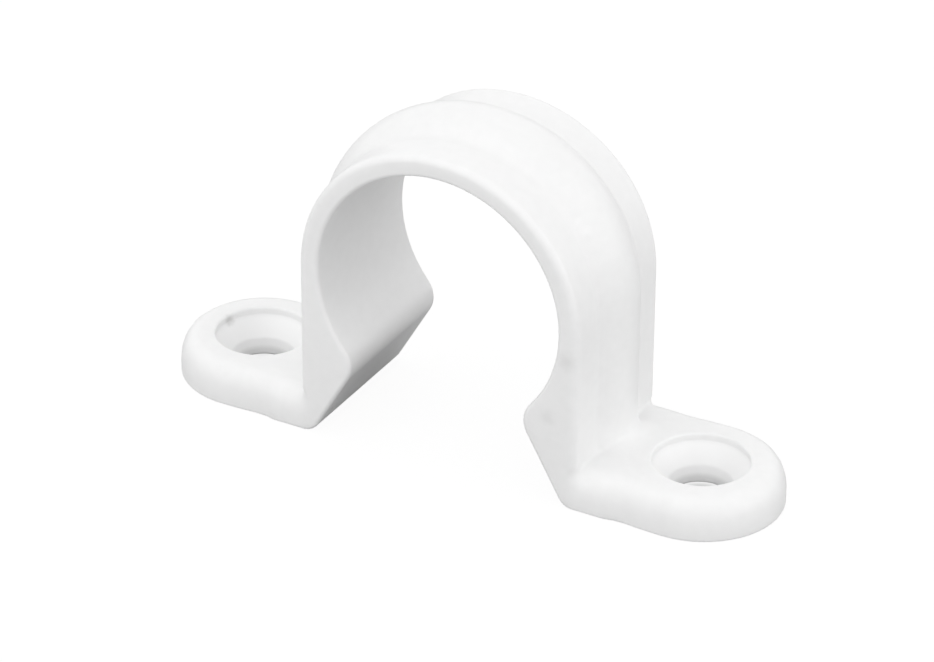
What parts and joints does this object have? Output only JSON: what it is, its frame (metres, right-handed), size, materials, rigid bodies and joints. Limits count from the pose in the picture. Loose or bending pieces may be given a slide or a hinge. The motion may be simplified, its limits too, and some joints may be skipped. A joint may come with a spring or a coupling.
{
  "type": "pipe strap",
  "caption": "Clip-on pipe strap: a crowned round band with lips and a slanted mouth, on rounded feet with countersunk screw holes.",
  "frame": {"origin": "middle of the flat underside, on the wall's surface under the pipe's centre line", "axes": "+X along the feet, +Y along the pipe, +Z away from the wall"},
  "size_m": [0.0544, 0.0138, 0.0293],
  "materials": {
    "white_plastic": "satin injection-moulded white plastic"
  },
  "bodies": {
    "root": {"pipe_strap": "white_plastic"}
  },
  "joints": []
}
